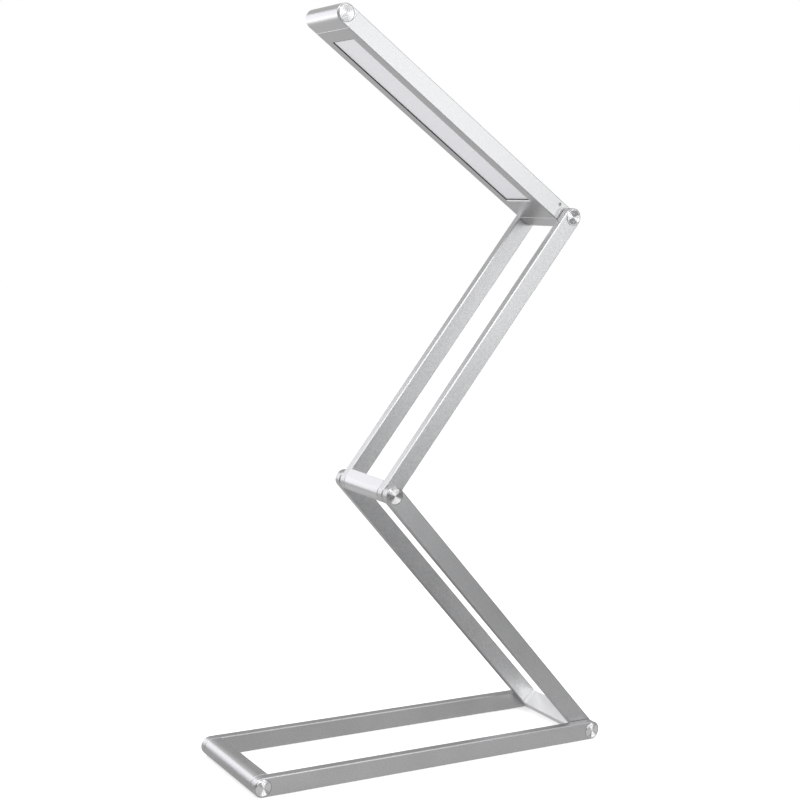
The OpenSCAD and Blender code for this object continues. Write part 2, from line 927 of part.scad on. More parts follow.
base_front_rail();
base_back_rail();
base_cross_bar();
base_corner_caps();
base_corner_screws();
base_dowels();
base_foot_pads();
base_hinge_caps();
base_hinge_washers();
lower_arm_front_rail();
lower_arm_back_rail();
lower_arm_cross_bar();
lower_arm_dowels();
base_hinge_screws();
elbow_caps();
elbow_washers();
upper_arm_front_rail();
upper_arm_back_rail();
upper_arm_cross_bar();
upper_arm_dowels();
elbow_screws();
head_hinge_caps();
head_hinge_washers();
head_hinge_screws();
head_housing();
head_hinge_block();
head_nose_block();
head_nose_caps();
light_diffuser();
light_tray();
light_board();
light_chips();
battery_cell();
battery_leads();
control_board();
control_parts();
charging_socket();
charging_light();
touch_key();
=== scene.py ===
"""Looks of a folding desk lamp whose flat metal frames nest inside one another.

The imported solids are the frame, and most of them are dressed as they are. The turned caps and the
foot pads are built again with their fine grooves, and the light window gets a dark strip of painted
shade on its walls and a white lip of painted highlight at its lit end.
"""
import functools
import json
import logging
import math
from dataclasses import dataclass, field
from enum import Enum
from typing import ClassVar, Union

import bmesh
import bpy
from mathutils import Matrix, Vector

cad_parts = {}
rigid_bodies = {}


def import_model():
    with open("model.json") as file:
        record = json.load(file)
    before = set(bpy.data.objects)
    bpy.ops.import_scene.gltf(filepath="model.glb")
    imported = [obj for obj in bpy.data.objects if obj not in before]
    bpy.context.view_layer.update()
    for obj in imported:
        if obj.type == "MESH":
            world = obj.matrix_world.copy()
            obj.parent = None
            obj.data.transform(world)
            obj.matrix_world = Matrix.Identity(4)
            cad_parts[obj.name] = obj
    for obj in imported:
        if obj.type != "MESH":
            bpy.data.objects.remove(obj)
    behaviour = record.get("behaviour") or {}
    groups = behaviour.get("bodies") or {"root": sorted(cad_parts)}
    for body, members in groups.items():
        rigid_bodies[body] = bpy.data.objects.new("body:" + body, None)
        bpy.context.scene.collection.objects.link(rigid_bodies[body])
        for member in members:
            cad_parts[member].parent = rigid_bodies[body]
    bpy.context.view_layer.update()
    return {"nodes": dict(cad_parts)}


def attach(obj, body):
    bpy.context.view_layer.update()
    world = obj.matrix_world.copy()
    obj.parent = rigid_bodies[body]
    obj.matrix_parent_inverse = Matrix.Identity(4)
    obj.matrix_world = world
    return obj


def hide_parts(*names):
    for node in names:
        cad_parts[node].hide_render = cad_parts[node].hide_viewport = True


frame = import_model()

LOG = logging.getLogger("desk_lamp")
Colour = tuple[float, float, float, float]
Point = tuple[float, float, float]
Span = tuple[float, float, float, float]
Source = Union[bpy.types.NodeSocket, float, int, tuple, bpy.types.Material]
MM = 0.001
# Power in watts that gives a soft light of one square metre a radiance of 1.
WATTS = 2.47
# Detail of the noise that each pattern is made of, and the part of it that is spread out.
FINE_DETAIL = 1.5
CLOUD_DETAIL = 3.0
RING_DETAIL = 2.0
NOISE_LOW = 0.25
NOISE_HIGH = 0.75
# What the fine grain adds to the tone; slow clouds add the rest.
FINE_SHARE = 0.8
# Points closer than this become one.
MERGE_DISTANCE = 0.0001 * MM
# Edges that bend more than this many degrees stay sharp.
CREASE = 5.0
# Steps of a plate's profile after its face: rim, bevel, wall and back.
EDGE_STEPS = 4
# Keeps a cosine of 0 on the positive side.
NUDGE = 1e-5


class Body(Enum):
    """The moving bodies of the lamp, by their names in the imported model."""

    BASE = "base"
    LOWER_ARM = "lower_arm"
    UPPER_ARM = "upper_arm"
    HEAD = "head"


# How many frames out from the head's each body's frame is.
STEPS_OUT = {Body.BASE: 3, Body.LOWER_ARM: 2, Body.UPPER_ARM: 1, Body.HEAD: 0}
HEAD_HALF_WIDTH = 20.5 * MM
RAIL_THICKNESS = 6 * MM
GAP = 0.5 * MM


def half_width(body: Body) -> float:
    """Gives the half width of a body's frame.

    Args:
        body: The body.

    Returns:
        The distance from the lamp's middle to the frame's outer face.
    """
    return HEAD_HALF_WIDTH + STEPS_OUT[body] * (RAIL_THICKNESS + GAP)


class Axis(Enum):
    """X and Z of the axes that run across the lamp."""

    BASE_NOSE = (-122.45 * MM, 6.4 * MM)
    BASE_HINGE = (122.45 * MM, 6.4 * MM)
    ELBOW = (-36.0805 * MM, 175.5133 * MM)
    HEAD_HINGE = (93.1786 * MM, 349.8150 * MM)
    HEAD_NOSE = (-74.9348 * MM, 461.8056 * MM)


class Slot(Enum):
    """Names of the record's material slots for the new pieces; nothing here reads them."""

    CAP = "turned_cap"
    RUBBER = "foot_rubber"
    TRIM = "black_part"
    WHITE = "white_plastic"


class Turn(Enum):
    """Rotations, in degrees, that bring a turned piece's axis onto Z."""

    ACROSS_THE_LAMP = (90.0, 0.0, 0.0)
    OUT_OF_THE_HEAD = (0.0, 33.67, 0.0)


class Tree:
    """Fills a node tree in few words."""

    def __init__(self, tree: bpy.types.NodeTree) -> None:
        """Keeps the node tree to fill."""
        self.tree = tree

    def add(self, kind: str, **settings: object) -> bpy.types.Node:
        """Adds a node.

        Args:
            kind: Blender's name for the node type.
            **settings: The node's own settings.

        Returns:
            The new node.
        """
        node = self.tree.nodes.new(kind)
        for name, value in settings.items():
            setattr(node, name, value)
        return node

    def feed(self, socket: bpy.types.NodeSocket, source: Source) -> None:
        """Links a socket to its source, or sets it to a plain value.

        Args:
            socket: The input to fill.
            source: An output to link, or the value.
        """
        if isinstance(source, bpy.types.NodeSocket):
            self.tree.links.new(source, socket)
        else:
            socket.default_value = source

    def math(self, operation: str, *sources: Source) -> bpy.types.NodeSocket:
        """Adds a math node.

        Args:
            operation: The operation's name.
            *sources: Sockets or numbers, in the node's order.

        Returns:
            The result's socket.
        """
        node = self.add("ShaderNodeMath", operation=operation)
        for socket, source in zip(node.inputs, sources):
            self.feed(socket, source)
        return node.outputs[0]

    def vector(self, operation: str, *sources: Source) -> bpy.types.NodeSocket:
        """Adds a vector math node.

        Args:
            operation: The operation's name.
            *sources: Sockets or values, in the node's order.

        Returns:
            The result's socket: a number for LENGTH, a vector otherwise.
        """
        node = self.add("ShaderNodeVectorMath", operation=operation)
        if operation == "SCALE":
            self.feed(node.inputs[0], sources[0])
            self.feed(node.inputs["Scale"], sources[1])
        else:
            for socket, source in zip(node.inputs, sources):
                self.feed(socket, source)
        return node.outputs["Value" if operation == "LENGTH" else "Vector"]

    def around(self, middle: Source, spread: Source, noise: Source) -> bpy.types.NodeSocket:
        """Varies a number around its middle.

        Args:
            middle: The middle value.
            spread: The largest step away from it.
            noise: A pattern from 0 to 1.

        Returns:
            The socket of middle + spread * (2 * noise - 1).
        """
        swing = self.math("MULTIPLY_ADD", noise, 2.0, -1.0)
        return self.math("MULTIPLY_ADD", swing, spread, middle)

    def ramp(self, value: Source, span: Span) -> bpy.types.NodeSocket:
        """Runs smoothly from one value to another.

        Args:
            value: What the ramp depends on.
            span: Where it starts and ends, and its values there.

        Returns:
            The socket of the ramp's value.
        """
        node = self.add("ShaderNodeMapRange", interpolation_type="SMOOTHSTEP")
        self.feed(node.inputs["Value"], value)
        for label, number in zip(("From Min", "From Max", "To Min", "To Max"), span):
            node.inputs[label].default_value = number
        return node.outputs["Result"]

    def glow(self, strength: Source) -> bpy.types.NodeSocket:
        """Adds white light from the surface itself.

        Args:
            strength: How bright it is.

        Returns:
            The shader's socket.
        """
        node = self.add("ShaderNodeEmission")
        self.feed(node.inputs["Strength"], strength)
        return node.outputs[0]

    def mix(self, *sources: Source) -> bpy.types.NodeSocket:
        """Mixes two shaders.

        Args:
            *sources: The second one's share, the first shader and the second.

        Returns:
            The mixed shader's socket.
        """
        node = self.add("ShaderNodeMixShader")
        for socket, source in zip(node.inputs, sources):
            self.feed(socket, source)
        return node.outputs[0]

    def spot(self, space: str = "Object") -> bpy.types.NodeSocket:
        """Gives the place or direction that is being shaded.

        Args:
            space: Object for an object's own place, Generated for the world's direction.

        Returns:
            The socket of the place or direction.
        """
        return self.add("ShaderNodeTexCoord").outputs[space]

    def parts(self, vector: bpy.types.NodeSocket) -> bpy.types.NodeOutputs:
        """Splits a vector.

        Args:
            vector: The vector.

        Returns:
            The sockets of its X, Y and Z.
        """
        node = self.add("ShaderNodeSeparateXYZ")
        self.feed(node.inputs[0], vector)
        return node.outputs


class PatternGroup:
    """A shader node group that several finishes share."""

    def __init__(self, name: str, scales: tuple[str, ...]) -> None:
        """Makes the empty group.

        Args:
            name: The group's name.
            scales: Names of the inputs that say how fine the pattern is.
        """
        self.group = bpy.data.node_groups.new(name, "ShaderNodeTree")
        face, number, colour = self.group.interface, "NodeSocketFloat", "NodeSocketColor"
        inputs = {"Position": "NodeSocketVector", "Tone": colour}
        inputs |= {label: number for label in ("Tone Spread", "Roughness", "Roughness Spread")}
        inputs |= {label: number for label in scales}
        for label, kind in inputs.items():
            face.new_socket(label, in_out="INPUT", socket_type=kind)
        for label, kind in (("Color", colour), ("Roughness", number), ("Height", number)):
            face.new_socket(label, in_out="OUTPUT", socket_type=kind)
        self.tree = Tree(self.group)
        self.given = self.tree.add("NodeGroupInput").outputs
        self.result = self.tree.add("NodeGroupOutput").inputs

    def tint(self, noise: bpy.types.NodeSocket) -> None:
        """Puts out the tone and the roughness.

        Args:
            noise: The pattern that varies both.
        """
        shade = self.tree.around(1.0, self.given["Tone Spread"], noise)
        toned = self.tree.vector("SCALE", self.given["Tone"], shade)
        self.tree.feed(self.result["Color"], toned)
        rough = self.tree.around(self.given["Roughness"], self.given["Roughness Spread"], noise)
        self.tree.feed(self.result["Roughness"], rough)

    def place(self, tree: Tree, sources: dict[str, Source]) -> bpy.types.Node:
        """Puts the group into a material.

        Args:
            tree: The material's tree.
            sources: Sockets or values by input name.

        Returns:
            The group's node.
        """
        node = tree.add("ShaderNodeGroup", node_tree=self.group)
        for label, source in sources.items():
            tree.feed(node.inputs[label], source)
        return node


def grain_group() -> PatternGroup:
    """Makes the grain of blasted metal and moulded plastic.

    Returns:
        The group: fine grain for the height, with slow clouds in tone and roughness.
    """
    made = PatternGroup("fine_grain", ("Grain Scale", "Cloud Scale"))
    tree, given = made.tree, made.given
    patterns = []
    for scale, detail in (
        (given["Grain Scale"], FINE_DETAIL), (given["Cloud Scale"], CLOUD_DETAIL),
    ):
        noise = tree.add("ShaderNodeTexNoise")
        tree.feed(noise.inputs["Vector"], given["Position"])
        tree.feed(noise.inputs["Scale"], scale)
        noise.inputs["Detail"].default_value = detail
        spread = tree.add("ShaderNodeMapRange")
        tree.feed(spread.inputs["Value"], noise.outputs["Fac"])
        spread.inputs["From Min"].default_value = NOISE_LOW
        spread.inputs["From Max"].default_value = NOISE_HIGH
        patterns.append(spread.outputs["Result"])
    fine, cloud = patterns
    clouds = tree.math("MULTIPLY", cloud, 1.0 - FINE_SHARE)
    both = tree.math("MULTIPLY_ADD", fine, FINE_SHARE, clouds)
    made.tint(both)
    tree.feed(made.result["Height"], fine)
    return made


def ring_group() -> PatternGroup:
    """Makes the circular tool marks of turned and spun faces.

    Returns:
        The group: rings around the Z axis of the position that it is given.
    """
    made = PatternGroup("turned_rings", ("Ring Scale",))
    tree, given = made.tree, made.given
    flat = tree.vector("MULTIPLY", given["Position"], (1.0, 1.0, 0.0))
    noise = tree.add("ShaderNodeTexNoise", noise_dimensions="1D")
    tree.feed(noise.inputs["W"], tree.vector("LENGTH", flat))
    tree.feed(noise.inputs["Scale"], given["Ring Scale"])
    noise.inputs["Detail"].default_value = RING_DETAIL
    made.tint(noise.outputs["Fac"])
    tree.feed(made.result["Height"], noise.outputs["Fac"])
    return made


GRAIN = grain_group()
RINGS = ring_group()


@dataclass(frozen=True)
class Finish:
    """A surface: its tone, its gloss and the grain that breaks them up."""

    name: str
    tone: Colour
    roughness: float
    metallic: float = 1.0
    tone_spread: float = 0.03
    roughness_spread: float = 0.03
    bump: float = 0.002 * MM

    def shader(self) -> tuple[bpy.types.Material, Tree, bpy.types.Node]:
        """Makes the material and its Principled shader.

        Returns:
            The material, its tree and the shader node.
        """
        material = bpy.data.materials.new(self.name)
        material.use_nodes = True
        tree = Tree(material.node_tree)
        shader = material.node_tree.nodes["Principled BSDF"]
        shader.inputs["Metallic"].default_value = self.metallic
        material.diffuse_color = self.tone
        return material, tree, shader

    def spread(self) -> dict[str, Source]:
        """Gives what both shared groups take.

        Returns:
            The finish's values by input name.
        """
        return {
            "Tone": self.tone,
            "Tone Spread": self.tone_spread,
            "Roughness": self.roughness,
            "Roughness Spread": self.roughness_spread,
        }

    def wire(self, tree: Tree, shader: bpy.types.Node, pattern: bpy.types.Node) -> None:
        """Feeds the shader from a placed group.

        Args:
            tree: The material's tree.
            shader: Its Principled shader.
            pattern: The group's node.
        """
        tree.feed(shader.inputs["Base Color"], pattern.outputs["Color"])
        tree.feed(shader.inputs["Roughness"], pattern.outputs["Roughness"])
        bump = tree.add("ShaderNodeBump")
        bump.inputs["Distance"].default_value = self.bump
        tree.feed(bump.inputs["Height"], pattern.outputs["Height"])
        tree.feed(shader.inputs["Normal"], bump.outputs["Normal"])


@dataclass(frozen=True)
class GrainFinish(Finish):
    """Blasted, moulded or plated surface with an even grain."""

    grain_scale: float = 2500.0
    cloud_scale: float = 40.0
    coat: float = 0.0
    coat_roughness: float = 0.12
    scatter: float = 0.0
    scatter_depth: float = 1.5 * MM

    def material(self) -> bpy.types.Material:
        """Makes the material.

        Returns:
            The material, its grain in Object coordinates.
        """
        material, tree, shader = self.shader()
        shader.inputs["Coat Weight"].default_value = self.coat
        shader.inputs["Coat Roughness"].default_value = self.coat_roughness
        shader.inputs["Subsurface Weight"].default_value = self.scatter
        shader.inputs["Subsurface Scale"].default_value = self.scatter_depth
        place = tree.spot()
        values = self.spread() | {
            "Position": place,
            "Tone": self.toned(tree, place),
            "Grain Scale": self.grain_scale,
            "Cloud Scale": self.cloud_scale,
        }
        self.wire(tree, shader, GRAIN.place(tree, values))
        return material

    def toned(self, tree: Tree, place: bpy.types.NodeSocket) -> Source:
        """Gives the tone, here the same all over.

        Args:
            tree: The material's tree; not used here.
            place: The socket of the place that is being shaded; not used here.

        Returns:
            The tone, or its socket in a finish that varies it.
        """
        return self.tone


@dataclass(frozen=True)
class CornerShadeFinish(GrainFinish):
    """Bright cut face between two rails, with painted shade that darkens it in its rounded corners.

    It is flat as far as flat_end from the lamp's middle, and meets the rails at corner_end, where
    corner_share of its brightness is left.
    """

    flat_end: float = 24.6 * MM
    corner_end: float = 27.5 * MM
    corner_share: float = 0.82

    def toned(self, tree: Tree, place: bpy.types.NodeSocket) -> Source:
        """Gives the tone, with painted shade that scales it down from the flat face's ends to the
        rails.
        """
        across = tree.math("ABSOLUTE", tree.parts(place)["Y"])
        # Painted shade: darker towards the rounded corners where the face meets the rails.
        share = tree.ramp(across, (self.flat_end, self.corner_end, 1.0, self.corner_share))
        return tree.vector("SCALE", self.tone[:3], share)


@dataclass(frozen=True)
class ReflectionShadeFinish(GrainFinish):
    """Rail whose inner face, where the cross bar is blended into it, carries a painted reflection.

    Along the lamp the painted reflection rises between start and end to share times the rail's own
    tone, and painted shade changes it slowly over the rest of the rail by shade, darkest towards
    the elbow. All of it stays within inner_face of the middle.
    """

    start: float = 101 * MM
    end: float = 116.5 * MM
    share: float = 1.42
    shade: Span = (-30 * MM, 95 * MM, -0.18, 0.05)
    inner_face: float = 28 * MM

    def toned(self, tree: Tree, place: bpy.types.NodeSocket) -> Source:
        """Gives the tone, with a painted reflection that scales it up on the inner face towards the
        cross bar and painted shade along the rail.
        """
        parts = tree.parts(place)
        # Painted reflection towards the cross bar, then painted shade along the rail.
        gain = tree.ramp(parts["X"], (self.start, self.end, 0.0, self.share - 1.0))
        gain = tree.math("ADD", gain, tree.ramp(parts["X"], self.shade))
        inner = tree.math("LESS_THAN", tree.math("ABSOLUTE", parts["Y"]), self.inner_face)
        share = tree.math("MULTIPLY_ADD", gain, inner, 1.0)
        return tree.vector("SCALE", self.tone[:3], share)


@dataclass(frozen=True)
class TurnedFinish(Finish):
    """Turned face: rings around an axis, and a highlight drawn out from it."""

    centre: Point = (0.0, 0.0, 0.0)
    turn: Turn = Turn.ACROSS_THE_LAMP
    ring_scale: float = 6000.0
    anisotropy: float = 0.83

    def material(self) -> bpy.types.Material:
        """Makes the material.

        Returns:
            The material, its rings centred on the axis.
        """
        material, tree, shader = self.shader()
        shader.inputs["Anisotropic"].default_value = self.anisotropy
        mapping = tree.add("ShaderNodeMapping", vector_type="TEXTURE")
        tree.feed(mapping.inputs["Vector"], tree.spot())
        mapping.inputs["Location"].default_value = self.centre
        mapping.inputs["Rotation"].default_value = [math.radians(a) for a in self.turn.value]
        values = self.spread() | {
            "Position": mapping.outputs["Vector"],
            "Ring Scale": self.ring_scale,
        }
        self.wire(tree, shader, RINGS.place(tree, values))
        from_axis = tree.vector("SUBTRACT", tree.spot(), self.centre)
        if self.turn is Turn.ACROSS_THE_LAMP:
            from_axis = tree.vector("MULTIPLY", from_axis, (1.0, 0.0, 1.0))
        posed = tree.add(
            "ShaderNodeVectorTransform", vector_type="VECTOR",
            convert_from="OBJECT", convert_to="WORLD",
        )
        tree.feed(posed.inputs["Vector"], from_axis)
        tree.feed(shader.inputs["Tangent"], tree.vector("NORMALIZE", posed.outputs["Vector"]))
        return material


def grey(level: float, warmth: float = 0.0) -> Colour:
    """Gives a grey tone.

    Args:
        level: Its brightness, from 0 to 1.
        warmth: Shift towards red, or towards blue where it is negative.

    Returns:
        The colour.
    """
    return (level * (1 + warmth), level, level * (1 - warmth), 1.0)


@functools.cache
def material_of(finish: Finish) -> bpy.types.Material:
    """Makes a finish's material, once.

    Args:
        finish: The finish.

    Returns:
        Its material.
    """
    return finish.material()


RAIL = GrainFinish(
    "blasted_rail", grey(0.61, -0.006), 0.36, tone_spread=0.20, bump=0.012 * MM,
    grain_scale=1500.0,
)
# Painted reflection and painted shade on the inner faces of the lower arm's rails.
REFLECTION_SHADE_RAIL = ReflectionShadeFinish(
    "rail_painted_reflection_shade", grey(0.59, -0.006), 0.36, tone_spread=0.20, bump=0.014 * MM,
    grain_scale=1400.0,
)
BAR = GrainFinish(
    "satin_bar", grey(0.69, -0.006), 0.365, bump=0.004 * MM, tone_spread=0.07, grain_scale=1800.0
)
# Painted shade darkens this bright cut face in its rounded corners.
SLOT_BAR_CORNER_SHADE = CornerShadeFinish(
    "bright_bar_corner_shade", grey(0.92, -0.004), 0.49, tone_spread=0.06, bump=0.004 * MM, grain_scale=1500.0
)
HOUSING = GrainFinish(
    "satin_head", grey(0.655, -0.004), 0.36, bump=0.004 * MM, tone_spread=0.05, grain_scale=1800.0
)
STEEL = GrainFinish(
    "zinc_plated_steel", grey(0.55, 0.01), 0.24, roughness_spread=0.08, cloud_scale=300.0
)
WASHER = GrainFinish(
    "washer_nylon", grey(0.55, 0.02), 0.5, metallic=0.0, bump=0.01 * MM, grain_scale=1200.0
)
DIFFUSER = GrainFinish(
    "milky_diffuser", (0.80, 0.80, 0.83, 1.0), 0.42, metallic=0.0, tone_spread=0.01,
    bump=0.003 * MM, grain_scale=900.0,
)
TRAY = GrainFinish(
    "white_tray", grey(0.86), 0.5, metallic=0.0, bump=0.01 * MM, grain_scale=900.0
)
LIGHT_BOARD = GrainFinish(
    "white_board", grey(0.80, 0.02), 0.35, metallic=0.0, coat=0.3, grain_scale=700.0
)
CHIP = GrainFinish(
    "phosphor", (0.85, 0.70, 0.18, 1.0), 0.3, metallic=0.0, scatter=0.3, bump=0.01 * MM
)
CELL = GrainFinish(
    "cell_foil", (0.50, 0.52, 0.55, 1.0), 0.3, metallic=0.8, bump=0.03 * MM, grain_scale=350.0,
    roughness_spread=0.1,
)
LEAD = GrainFinish("lead_sleeve", (0.45, 0.02, 0.02, 1.0), 0.42, metallic=0.0, tone_spread=0.08)
CONTROL_BOARD = GrainFinish(
    "green_board", (0.02, 0.13, 0.05, 1.0), 0.33, metallic=0.0, coat=0.4, tone_spread=0.15,
    grain_scale=600.0, cloud_scale=250.0,
)
MOULDED = GrainFinish(
    "moulded_black", grey(0.02), 0.45, metallic=0.0, bump=0.01 * MM, grain_scale=1500.0
)
SOCKET = GrainFinish(
    "socket_shell", grey(0.62), 0.22, roughness_spread=0.06, grain_scale=1800.0
)
# Painted shade: the guide sits inside its hole and takes a dark tone.
GUIDE = GrainFinish(
    "milky_guide_painted_shade", (0.30, 0.32, 0.34, 1.0), 0.2, metallic=0.0, coat=0.3, tone_spread=0.02,
    roughness_spread=0.02,
)
RUBBER = GrainFinish(
    "foot_rubber", grey(0.025), 0.75, metallic=0.0, bump=0.02 * MM, grain_scale=1400.0
)


def dress(node: str, finish: Finish) -> None:
    """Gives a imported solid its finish.

    Args:
        node: The CAD node's name.
        finish: The finish.
    """
    material = material_of(finish)
    solid = frame["nodes"][node]
    for place in solid.material_slots:
        place.material = material
    LOG.info("dressed %s in %s", node, material.name)


def mount(name: str, mesh: bpy.types.Mesh, body: Body) -> bpy.types.Object:
    """Puts a finished mesh into the scene.

    Args:
        name: The piece's name.
        mesh: Its mesh, in the lamp's frame.
        body: The body that the piece moves with.

    Returns:
        The piece, at the origin.
    """
    piece = bpy.data.objects.new(name, mesh)
    bpy.context.scene.collection.objects.link(piece)
    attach(piece, body.value)
    LOG.info("built %s: %d faces, on %s", name, len(mesh.polygons), body.value)
    return piece


class Recipe:
    """A Geometry Nodes tree with named inputs, turned into plain meshes one piece at a time."""

    def __init__(self, name: str, inputs: dict[str, str]) -> None:
        """Makes the tree's sockets.

        Args:
            name: The tree's name.
            inputs: Socket kind by input name. The piece's material comes by itself.
        """
        self.group = bpy.data.node_groups.new(name, "GeometryNodeTree")
        self.tree = Tree(self.group)
        face = self.group.interface
        self.ids = {
            label: face.new_socket(label, in_out="INPUT", socket_type=kind).identifier
            for label, kind in ({"Geometry": "NodeSocketGeometry"} | inputs).items()
        }
        self.ids["Material"] = face.new_socket(
            "Material", in_out="INPUT", socket_type="NodeSocketMaterial"
        ).identifier
        face.new_socket("Geometry", in_out="OUTPUT", socket_type="NodeSocketGeometry")
        self.given = self.tree.add("NodeGroupInput").outputs

    def end(self, shape: bpy.types.NodeSocket) -> None:
        """Ends the tree in Realize Instances, shading and Set Material.

        Args:
            shape: The finished shape, which may be instances.
        """
        tree = self.tree
        real = tree.add("GeometryNodeRealizeInstances")
        tree.feed(real.inputs[0], shape)
        merged = tree.add("GeometryNodeMergeByDistance")
        tree.feed(merged.inputs["Geometry"], real.outputs[0])
        merged.inputs["Distance"].default_value = MERGE_DISTANCE
        smooth = tree.add("GeometryNodeSetShadeSmooth", domain="FACE")
        tree.feed(smooth.inputs["Geometry"], merged.outputs[0])
        bend = tree.add("GeometryNodeInputMeshEdgeAngle").outputs["Unsigned Angle"]
        sharp = tree.add("GeometryNodeSetShadeSmooth", domain="EDGE")
        tree.feed(sharp.inputs["Geometry"], smooth.outputs[0])
        bent = tree.math("GREATER_THAN", bend, math.radians(CREASE))
        tree.feed(sharp.inputs["Selection"], bent)
        sharp.inputs["Shade Smooth"].default_value = False
        dressed = tree.add("GeometryNodeSetMaterial")
        tree.feed(dressed.inputs["Geometry"], sharp.outputs[0])
        tree.feed(dressed.inputs["Material"], self.given["Material"])
        tree.feed(tree.add("NodeGroupOutput").inputs[0], dressed.outputs[0])

    def make(
        self, name: str, values: dict[str, object], body: Body, slot: Slot
    ) -> bpy.types.Object:
        """Makes one piece with the tree.

        Args:
            name: The piece's name.
            values: The tree's inputs by name.
            body: The body that the piece moves with.
            slot: The record's slot that its finish belongs to; not used.

        Returns:
            The piece, a plain mesh at the origin.
        """
        carrier = bpy.data.objects.new(f"{name}_carrier", bpy.data.meshes.new(f"{name}_carrier"))
        bpy.context.scene.collection.objects.link(carrier)
        modifier = carrier.modifiers.new("recipe", "NODES")
        modifier.node_group = self.group
        for label, value in values.items():
            modifier[self.ids[label]] = value
        bpy.context.view_layer.update()
        graph = bpy.context.evaluated_depsgraph_get()
        mesh = bpy.data.meshes.new_from_object(carrier.evaluated_get(graph), depsgraph=graph)
        carrier.modifiers.remove(modifier)
        bpy.data.objects.remove(carrier)
        mesh.name = name
        return mount(name, mesh, body)


class RoundRecipe(Recipe):
    """A round or long-round plate with a grooved face, put at the points that the tree gets."""

    SIZES = ("Radius", "Straight", "Rim", "Bevel", "Proud", "Sink", "Dish", "Groove Depth")

    def __init__(self, name: str, places: tuple[str, ...]) -> None:
        """Makes the sockets and the plate.

        Args:
            name: The tree's name.
            places: Names of the inputs that say where the plates go.
        """
        number, whole = "NodeSocketFloat", "NodeSocketInt"
        sockets = {label: number for label in places + self.SIZES}
        super().__init__(name, sockets | {"Grooves": whole, "Segments": whole})
        self.plate = self.shape()

    def shape(self) -> bpy.types.NodeSocket:
        """Makes one plate that faces +Z.

        Returns:
            Its mesh: a dished face cut with fine grooves, a flat rim, a bevel, a wall and a back.
        """
        tree, given = self.tree, self.given
        face_steps = tree.math("MULTIPLY", given["Grooves"], 2.0)
        rings = tree.math("ADD", face_steps, float(EDGE_STEPS))
        grid = tree.add("GeometryNodeMeshGrid")
        tree.feed(grid.inputs["Vertices X"], tree.math("ADD", rings, 1.0))
        tree.feed(grid.inputs["Vertices Y"], tree.math("ADD", given["Segments"], 1.0))
        cell = tree.parts(tree.add("GeometryNodeInputPosition").outputs[0])
        step = tree.math("ROUND", tree.math("MULTIPLY", tree.math("ADD", cell[0], 0.5), rings))
        turn = tree.math("MULTIPLY", tree.math("ADD", cell[1], 0.5), math.tau)

        def stage(index: int) -> bpy.types.NodeSocket:
            """Says which points lie past a step of the edge.

            Args:
                index: The step, counted from the face.

            Returns:
                The socket of 0 before the step and 1 from its end on.
            """
            past = tree.math("SUBTRACT", step, face_steps)
            past = tree.math("SUBTRACT", past, float(index))
            node = tree.add("ShaderNodeClamp")
            tree.feed(node.inputs["Value"], past)
            return node.outputs[0]

        rim, bevel, wall, back = (stage(index) for index in range(EDGE_STEPS))
        inner = tree.math("SUBTRACT", given["Radius"], given["Bevel"])
        inner = tree.math("SUBTRACT", inner, given["Rim"])
        share = tree.math("MINIMUM", tree.math("DIVIDE", step, face_steps), 1.0)
        reach = tree.math("MULTIPLY", inner, share)
        reach = tree.math("MULTIPLY_ADD", rim, given["Rim"], reach)
        reach = tree.math("MULTIPLY_ADD", bevel, given["Bevel"], reach)
        reach = tree.math("MULTIPLY", reach, tree.math("SUBTRACT", 1.0, back))

        odd = tree.math("MODULO", step, 2.0)
        cut = tree.math("MULTIPLY", odd, tree.math("SUBTRACT", 1.0, rim))
        drop = tree.math("ADD", given["Proud"], given["Sink"])
        height = given["Proud"]
        for part, depth in (
            (tree.math("SUBTRACT", 1.0, share), given["Dish"]),
            (cut, given["Groove Depth"]),
            (bevel, given["Bevel"]),
            (wall, tree.math("SUBTRACT", drop, given["Bevel"])),
        ):
            height = tree.math("SUBTRACT", height, tree.math("MULTIPLY", part, depth))

        half = tree.math("MULTIPLY", given["Straight"], 0.5)
        side = tree.math("SIGN", tree.math("ADD", tree.math("COSINE", turn), NUDGE))
        spot = tree.add("ShaderNodeCombineXYZ")
        along = tree.math("MULTIPLY", reach, tree.math("COSINE", turn))
        tree.feed(spot.inputs[0], tree.math("MULTIPLY_ADD", side, half, along))
        tree.feed(spot.inputs[1], tree.math("MULTIPLY", reach, tree.math("SINE", turn)))
        tree.feed(spot.inputs[2], height)
        moved = tree.add("GeometryNodeSetPosition")
        tree.feed(moved.inputs["Geometry"], grid.outputs["Mesh"])
        tree.feed(moved.inputs["Position"], spot.outputs[0])
        return moved.outputs[0]

    def scatter(self, points: bpy.types.NodeSocket, facing: Source) -> None:
        """Puts a plate at each point and ends the tree.

        Args:
            points: The points.
            facing: The plates' rotation.
        """
        placed = self.tree.add("GeometryNodeInstanceOnPoints")
        self.tree.feed(placed.inputs["Points"], points)
        self.tree.feed(placed.inputs["Instance"], self.plate)
        self.tree.feed(placed.inputs["Rotation"], facing)
        self.end(placed.outputs[0])


def cap_recipe() -> RoundRecipe:
    """Makes the tree of a pair of turned caps.

    Returns:
        The recipe: one cap faces the front, the other the back.
    """
    made = RoundRecipe("turned_caps", ("Axis X", "Axis Z", "Half Width"))
    tree, given = made.tree, made.given
    line = tree.add("GeometryNodeMeshLine", mode="END_POINTS")
    line.inputs["Count"].default_value = 2
    for label, side in (("Start Location", -1.0), ("Offset", 1.0)):
        end = tree.add("ShaderNodeCombineXYZ")
        tree.feed(end.inputs[0], given["Axis X"])
        tree.feed(end.inputs[1], tree.math("MULTIPLY", given["Half Width"], side))
        tree.feed(end.inputs[2], given["Axis Z"])
        tree.feed(line.inputs[label], end.outputs[0])
    facing = tree.add("ShaderNodeCombineXYZ")
    index = tree.add("GeometryNodeInputIndex").outputs[0]
    tree.feed(facing.inputs[0], tree.math("MULTIPLY_ADD", index, -math.pi, math.pi / 2))
    made.scatter(line.outputs["Mesh"], facing.outputs[0])
    return made


